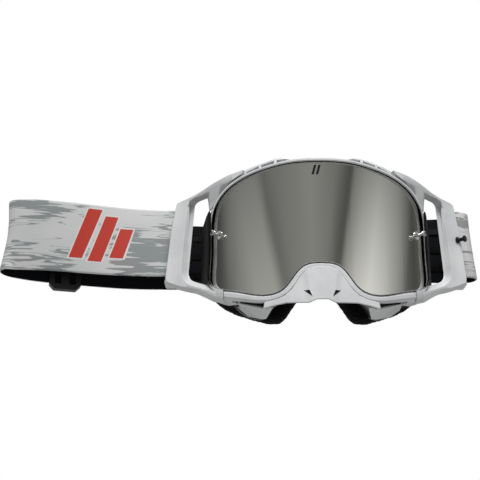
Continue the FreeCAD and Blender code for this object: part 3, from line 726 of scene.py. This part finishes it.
def bar_wrap(sign, height):
    """Strap path points round a strap bar, from its rear over its inner side."""
    points = []
    for angle in (115, 90, 60, 30, 0, -30, -60, -90, -112):
        x = -sign * WRAP_RADIUS * math.cos(math.radians(angle))
        y = WRAP_RADIUS * math.sin(math.radians(angle))
        points.append((sign * ROD_X + x, ROD_Y + y, height, -sign * WRAP_LEAN, 0))
    return points


# Middle line of the strap: x, y, z, and how its width leans in x and in y.
STRAP_PATH = [(-106, 11.5, 5.0, 0.05, 0), (-97, 13.6, 4.9, 0.10, 0)]
STRAP_PATH += bar_wrap(-1, 4.9)
STRAP_PATH += [(-97, 9.4, 4.9, 0.10, 0),
               (-113, 7.5, 4.7, 0.04, -0.02), (-135, 3.5, 4.8, 0, -0.10),
               (-165, -1.5, 5.8, 0, -0.20), (-184.5, -3.6, 5.9, 0.05, -0.22),
               (-194, -0.7, 5.8, 0.11, -0.18), (-195, 6.0, 5.0, 0.11, -0.10),
               (-188.5, 11.36, 4.0, 0.05, -0.03), (-180, 13.66, 3.0, 0, 0),
               (-163, 18.26, 2.4, 0, 0), (-145, 23.13, 2.4, 0, 0),
               (-125, 28.54, 2.6, 0, 0), (-105, 33.95, 3.8, 0, 0), (-75, 41.5, 6.2, 0, 0),
               (-30, 47.5, 6.5, 0, 0), (30, 47.5, 8.5, 0, 0), (75, 41.5, 11.4, 0, 0),
               (93, 34.5, 9.5, -0.03, 0), (101.6, 23.5, 7.0, -0.06, 0),
               (100.5, 14, 5.6, -0.09, 0), (96.5, 10.2, 5.0, -0.11, 0)]
STRAP_PATH += list(reversed(bar_wrap(1, 4.8)))
STRAP_PATH += [(92.8, 16.6, 5.0, -0.10, 0), (95.4, 21.5, 5.4, -0.08, 0)]


def even_steps(line, step):
    """Points of a dense line at even distances, measured in x, y, z."""
    out, spare = [line[0]], 0.0
    for a, b in zip(line, line[1:]):
        gap = math.dist(a[:3], b[:3])
        while spare + gap >= step:
            share = (step - spare) / gap
            a = a.lerp(b, share)
            gap *= 1 - share
            spare = 0.0
            out.append(a)
        spare += gap
    return out


STEP = 0.6
rows = even_steps(spline(STRAP_PATH, 0.3, closed=False), STEP)
centres = [Vector(r[:3]) for r in rows]
strap_frames = []
for i, row in enumerate(rows):
    tangent = (centres[min(i + 1, len(rows) - 1)] - centres[max(i - 1, 0)]).normalized()
    across = Vector((row[3], row[4], 1))
    across = (across - tangent * across.dot(tangent)).normalized()
    strap_frames.append((centres[i], across, tangent.cross(across).normalized()))


def on_strap(u, v, w):
    """Point at distance u along the strap, v across it and w out of its middle, in mm."""
    spot = min(max(u / STEP, 0), len(strap_frames) - 1.001)
    i = int(spot)
    s = spot - i
    (c0, a0, n0), (c1, a1, n1) = strap_frames[i], strap_frames[i + 1]
    return c0.lerp(c1, s) + a0.lerp(a1, s) * v + n0.lerp(n1, s) * w


def build_strap():
    """Woven band with rounded, beaded edges; the printed face is material 0."""
    bm = bmesh.new()
    uv = bm.loops.layers.uv.new("UVMap")
    half = [(-HALF_WIDTH, 0.0), (-22.2, 0.72), (-21.2, HALF_WALL), (-10.6, HALF_WALL),
            (0, HALF_WALL), (10.6, HALF_WALL), (21.2, HALF_WALL), (22.2, 0.72)]
    profile = half + [(-v, -w) for v, w in half]
    rings = []
    for i in range(len(strap_frames)):
        u = i * STEP
        middle = strap_frames[i][0]
        on_rear_layer = middle.y > 11 and middle.x < 60
        bead = (0.26 if on_rear_layer else 0.03) * (-1) ** i
        ring = []
        for v, w in profile:
            push = bead * (1 if v > 0 else -1) if abs(v) > 22 else 0.0
            ring.append(bm.verts.new(on_strap(u, v + push, w) * MM))
        rings.append((u, ring))
    count = len(profile)
    for (u0, a), (u1, b) in zip(rings, rings[1:]):
        for k in range(count):
            j = (k + 1) % count
            face = bm.faces.new((a[k], a[j], b[j], b[k]))
            face.material_index = 0 if profile[k][1] + profile[j][1] < -0.01 else 1
            for loop, (u, v) in zip(face.loops, ((u0, profile[k][0]), (u0, profile[j][0]),
                                                 (u1, profile[j][0]), (u1, profile[k][0]))):
                loop[uv].uv = (u * MM, v * MM)
    bm.faces.new(list(reversed(rings[0][1])))
    bm.faces.new(rings[-1][1])
    return mesh_from_bmesh("strap_web", bm, 60)


piece_from("strap_web", build_strap(), [LOOK["print"], LOOK["inner"]], "frame",
           ["strap"])


def distance_at(x, after=35.0):
    """Distance along the strap, past after, where its middle first comes to x."""
    falling = strap_frames[int(after / STEP)][0].x > x
    for i in range(int(after / STEP), len(strap_frames)):
        if (strap_frames[i][0].x <= x) == falling:
            return i * STEP
    return (len(strap_frames) - 1) * STEP


def strap_patch(name, corners, depth, material, wall=0.12, parts=14):
    """Thin print on the strap inside four corners (u, v), in order round the patch."""
    bm = bmesh.new()
    uv = bm.loops.layers.uv.new("UVMap")
    a, b, c, d = (Vector(p) for p in corners)
    grid = []
    for j in range(parts + 1):
        t = j / parts
        row = []
        for k in range(parts + 1):
            spot = a.lerp(b, k / parts).lerp(d.lerp(c, k / parts), t)
            row.append((bm.verts.new(on_strap(spot.x, spot.y, depth) * MM), spot))
        grid.append(row)
    for j in range(parts):
        for k in range(parts):
            cells = (grid[j][k], grid[j][k + 1], grid[j + 1][k + 1], grid[j + 1][k])
            face = bm.faces.new([cell[0] for cell in cells])
            for loop, (_, spot) in zip(face.loops, cells):
                loop[uv].uv = spot * MM
    made = bmesh.ops.extrude_face_region(bm, geom=bm.faces[:])
    inward = -1 if depth > 0 else 1
    for vert in [v for v in made["geom"] if isinstance(v, bmesh.types.BMVert)]:
        near = min(grid[parts // 2], key=lambda cell: (cell[0].co - vert.co).length)[1]
        lower, upper = on_strap(near.x, near.y, 0), on_strap(near.x, near.y, 1)
        vert.co += (upper - lower) * inward * wall * MM
    return piece_from(name, mesh_from_bmesh(name, bm, 40), material, "frame")


# Emblem on the side of the strap: three leaning bars in red with a pale outline.
EMBLEM_BARS = [(-147.0, -13.0, 19.5), (-134.8, -14.5, 15.5), (-122.6, -11.5, 8.0)]
BAR_WIDTH, BAR_LEAN, OUTLINE_WIDTH = 8.6, 0.30, 0.8
for number, (x, foot, top) in enumerate(EMBLEM_BARS, start=1):
    for word, spare, depth, material in (("outline", OUTLINE_WIDTH, -0.93, LOOK["outline"]),
                                         ("bar", 0.0, -1.02, LOOK["red"])):
        corners = []
        for side_x, z in ((-1, foot - spare), (1, foot - spare), (1, top + spare),
                          (-1, top + spare)):
            at_x = x + side_x * (BAR_WIDTH / 2 + spare * 1.15) + z * BAR_LEAN
            corners.append((distance_at(at_x), z))
        strap_patch("emblem_%s_%d" % (word, number), corners, depth, material)


def stitch_rows(name, u_list, v_list, depth, long=1.7, thick=0.28):
    """Short threads lying on the strap, long across its width."""
    bm = bmesh.new()
    for u in u_list:
        for v in v_list:
            a, b = on_strap(u, v - long / 2, depth), on_strap(u, v + long / 2, depth)
            turn = (b - a).to_track_quat("Z", "Y").to_matrix().to_4x4()
            shape = Matrix.Diagonal((thick, thick, long / 2, 1))
            place = Matrix.Translation((a + b) / 2 * MM) @ turn @ shape @ Matrix.Scale(MM, 4)
            bmesh.ops.create_icosphere(bm, subdivisions=1, radius=1.0, matrix=place)
    for face in bm.faces:
        face.smooth = True
    data = bpy.data.meshes.new(name)
    bm.to_mesh(data)
    bm.free()
    return piece_from(name, data, LOOK["thread"], "frame")


length = (len(strap_frames) - 1) * STEP
stitch_places = [v * 2.4 for v in range(-8, 9)]
stitch_rows("strap_stitches_left", (2.0, 5.0), stitch_places, 0.95)
stitch_rows("strap_stitches_right", (length - 2.0, length - 5.0), stitch_places, 0.95)

# Silicone coat on the helmet side of the strap, beside the right outrigger.
pad_from = distance_at(56, after=260)
pad_to = distance_at(92, after=260)
strap_patch("strap_silicone_pad", [(pad_from, -19.5), (pad_to, -19.5), (pad_to, 19.5),
                                   (pad_from, 19.5)], -1.0, LOOK["gloss"], 0.4, 24)

# ------------------------------------------------------------------ foam
def remeshed(name, node_name, voxel, shrink):
    """Copy of a CAD node as an even mesh, moved inward by shrink."""
    piece = bpy.data.objects.new(name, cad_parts[node_name].data.copy())
    bpy.context.scene.collection.objects.link(piece)
    piece.matrix_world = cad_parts[node_name].matrix_world
    grid = piece.modifiers.new("grid", "REMESH")
    grid.mode, grid.voxel_size = "VOXEL", voxel * MM
    inward = piece.modifiers.new("inward", "DISPLACE")
    inward.strength, inward.mid_level = -shrink * MM, 0
    ease = piece.modifiers.new("ease", "SMOOTH")
    ease.factor, ease.iterations = 0.5, 20
    bake(piece)
    return piece


def bake(piece):
    """Replace the mesh by what its modifiers make of it."""
    bpy.context.view_layer.update()
    made = bpy.data.meshes.new_from_object(
        piece.evaluated_get(bpy.context.evaluated_depsgraph_get()))
    piece.modifiers.clear()
    piece.data = made


CLOTH_FRAMES, GRAIN_SCALE = 20, 210


def soft_piece(name, node_name, voxel, shrink, material, pressure=0.0, cap=1.0,
               grain=0.12):
    """Foam part: pressed outward by cloth simulation where pressure is given, each point
    by cap at the most, then subdivided once and given shallow unevenness."""
    piece = remeshed(name, node_name, voxel, shrink)
    if pressure:
        rest = [v.co.copy() for v in piece.data.vertices]
        cloth = piece.modifiers.new("cloth", "CLOTH")
        cloth.settings.use_pressure = True
        cloth.settings.uniform_pressure_force = pressure
        cloth.settings.quality = 6
        cloth.settings.tension_stiffness = cloth.settings.compression_stiffness = 25
        cloth.settings.effector_weights.gravity = 0
        cloth.point_cache.frame_start, cloth.point_cache.frame_end = 1, CLOTH_FRAMES
        for moment in range(1, CLOTH_FRAMES + 1):
            bpy.context.scene.frame_set(moment)
        bake(piece)
        bpy.context.scene.frame_set(1)
        capped = []
        for vert, start in zip(piece.data.vertices, rest):
            move = vert.co - start
            capped += tuple(start + move * min(1.0, cap * MM / max(move.length, 1e-9)))
        piece.data.vertices.foreach_set("co", capped)
        piece.data.update()
    fine = piece.modifiers.new("fine", "SUBSURF")
    fine.levels = fine.render_levels = 1
    bake(piece)
    moved = [vert.co + vert.normal * grain * MM * noise.noise(vert.co * GRAIN_SCALE)
             for vert in piece.data.vertices]
    piece.data.vertices.foreach_set("co", [c for point in moved for c in point])
    piece.data.update()
    for face in piece.data.polygons:
        face.use_smooth = True
    piece.data.materials.clear()
    piece.data.materials.append(material)
    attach(piece, "frame")
    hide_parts(node_name)


soft_piece("foam_carrier", "foam_base", 1.2, 0.15, LOOK["foam"])
soft_piece("foam_cushion", "foam_middle", 1.6, 0.55, LOOK["foam"], 4.0, 0.9,
           grain=0.06)
soft_piece("fleece_face", "foam_fleece", 1.0, 0.25, LOOK["fleece"])
for word, _ in SIDES:
    soft_piece("side_leaf_" + word, "side_vent_foam_" + word, 1.0, 0.12, LOOK["leaf"],
               grain=0.05)
    soft_piece("lower_vent_pad_" + word, "lower_vent_foam_" + word, 0.8, 0.1, LOOK["foam"])
    for number in range(1, 4):
        soft_piece("top_vent_pad_%s_%d" % (word, number),
                   "top_vent_foam_%s_%d" % (word, number), 0.6, 0.05, LOOK["pale_foam"],
                   grain=0.05)

# ------------------------------------------------------------------ stage and light
FLOOR_HALF, FLOOR_Z = 8, -1.5
SOFT_LOW, SOFT_HIGH = 0.15, 0.42
floor_mesh = bpy.data.meshes.new("floor")
floor_mesh.from_pydata([(x * FLOOR_HALF, y * FLOOR_HALF, FLOOR_Z)
                        for x, y in ((-1, -1), (1, -1), (1, 1), (-1, 1))], [],
                       [(0, 1, 2, 3)])
floor = bpy.data.objects.new("floor", floor_mesh)
bpy.context.scene.collection.objects.link(floor)
g = material_graph("pale_floor")
floor.data.materials.append(g.finish(
    Base_Color=g.ramp(g.noise(g.place(), 3, 2), [(0.3, grey(0.80)), (0.7, grey(0.84))]),
    Roughness=0.9))

# The dome is white to the camera, an even soft light to matt surfaces, and to glossy ones
# a dark wall between two tall softboxes whose inner edges lean apart toward the ceiling.
world = bpy.data.worlds.new("studio")
bpy.context.scene.world = world
g = Graph(world)
x, y, z = g.split(g.place("Generated"))[:3]
azimuth = g.math("DEGREES", g.math("ARCTAN2", x, g.math("MULTIPLY", y, -1)))
height = g.math("DEGREES", g.math("ARCSINE", z))
above = g.math("SUBTRACT", height, 20)
left_lean, right_lean = (g.math("MULTIPLY_ADD", above, lean, azimuth) for lean in (3.3, -2.4))


def tone_ramp(angle, stops):
    """Brightness against an angle of -180 to 180 degrees."""
    return g.ramp(g.math("DIVIDE", g.math("ADD", angle, 180), 360),
                  [((spot + 180) / 360, grey(value)) for spot, value in stops], False)


wall = tone_ramp(azimuth, [(-130, 0.30), (-93, 0.08), (-80, 0.17), (-34, 0.24), (-4, 0.34),
                           (20, 0.23), (80, 0.17), (95, 0.09), (130, 0.30)])
left_box = tone_ramp(left_lean, [(-92, 0.0), (-62, 0.20), (-44, 0.21), (-37, 0.0)])
right_box = tone_ramp(right_lean, [(23, 0.0), (30, 0.20), (38, 0.42), (52, 0.62), (64, 0.46),
                                   (92, 0.0)])
dark_edges = g.mix(1.0, tone_ramp(left_lean, [(-39, 0.0), (-35, 0.05), (-25, 0.0)]),
                   tone_ramp(right_lean, [(10, 0.0), (20, 0.10), (24, 0.13), (27, 0.0)]), "ADD")
boxes = g.mix(1.0, left_box, right_box, "ADD")
fade = g.level(above, 1.5, 0.25, -4, 4.5)
studio = g.mix(1.0, wall, g.mix(1.0, boxes, fade, "MULTIPLY"), "ADD")
studio = g.mix(1.0, studio, dark_edges, "SUBTRACT")
studio = g.mix(g.level(height, 1, 0, 6, 14), studio, (*grey(0.75), 1))
studio = g.mix(g.level(height, start=30, end=50), studio, (*grey(0.9), 1))
soft = g.mix(g.level(height, start=-60, end=60), (*grey(SOFT_LOW), 1), (*grey(SOFT_HIGH), 1))
path = g.add("ShaderNodeLightPath")
glow = g.mix(path.outputs["Is Glossy Ray"], soft, studio)
glow = g.mix(path.outputs["Is Camera Ray"], glow, (1, 1, 1, 1))
g.links.new(glow, g.nodes["Background"].inputs[0])
bpy.context.scene.view_settings.view_transform = "Standard"


def softbox(name, spot, width, height, power):
    """Rectangular light that faces the goggles."""
    data = bpy.data.lights.new(name, "AREA")
    data.shape, data.size, data.size_y, data.energy = "RECTANGLE", width, height, power
    light = bpy.data.objects.new(name, data)
    light.location = spot
    light.rotation_euler = (-Vector(spot)).to_track_quat("-Z", "Y").to_euler()
    bpy.context.scene.collection.objects.link(light)


softbox("key", (-0.05, -0.98, 1.30), 1.0, 0.5, 26.0)
softbox("low_fill", (0.0, -1.4, -0.2), 1.4, 0.3, 0.8)
